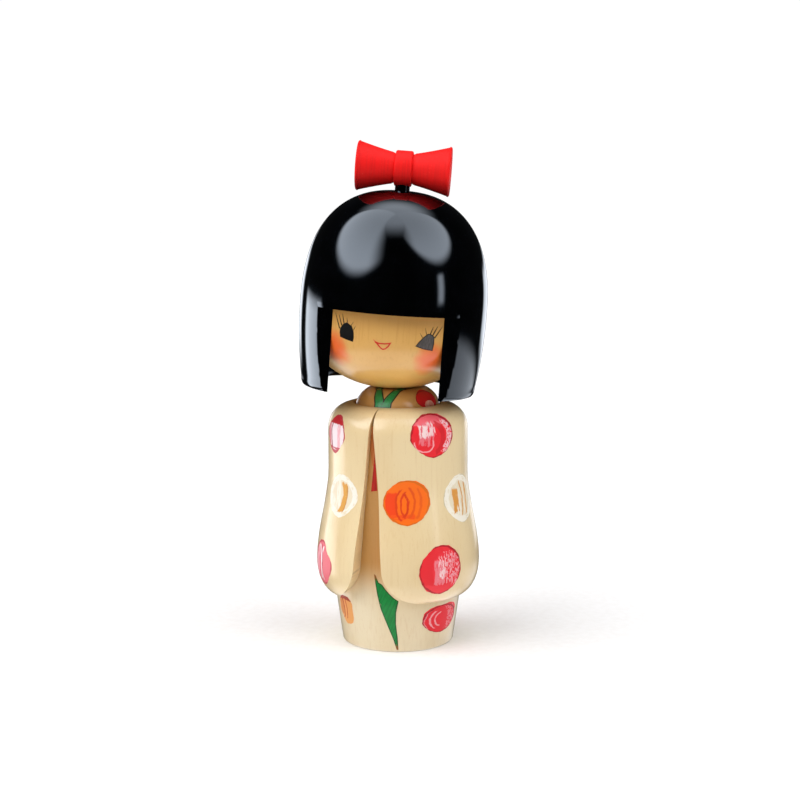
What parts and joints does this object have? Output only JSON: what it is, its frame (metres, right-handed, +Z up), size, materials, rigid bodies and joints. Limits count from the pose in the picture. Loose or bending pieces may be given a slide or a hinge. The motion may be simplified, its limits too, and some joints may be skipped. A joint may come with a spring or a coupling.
{
  "type": "kokeshi doll",
  "caption": "Turned wooden kokeshi doll: flared kimono sleeves over a round body, a leaning head that turns, a bobbed hair cap and a spool-shaped bow.",
  "frame": {"origin": "centre of the flat base, on the body's vertical axis", "axes": "+Z up along the body, -Y towards the doll's front"},
  "size_m": [0.0599, 0.0593, 0.16],
  "materials": {
    "body_wood": "satin varnish over painted flowers",
    "sleeve_wood": "satin varnish over painted flowers",
    "dowel_wood": "bare",
    "face_wood": "satin varnish over a painted face",
    "hair_lacquer": "gloss black lacquer",
    "peg_lacquer": "gloss black lacquer",
    "bow_paint": "soft matt red paint"
  },
  "bodies": {
    "base": {"body": "body_wood", "kimono_sleeves": "sleeve_wood", "neck_dowel": "dowel_wood"},
    "head_group": {"head": "face_wood", "hair": "hair_lacquer", "bow_peg": "peg_lacquer", "bow": "bow_paint"}
  },
  "joints": [
    {"name": "neck_turn", "type": "hinge", "parent": "base", "child": "head_group", "pos_m": [0, 0, 0.0824], "axis": [0, 0, 1], "continuous": true}
  ]
}
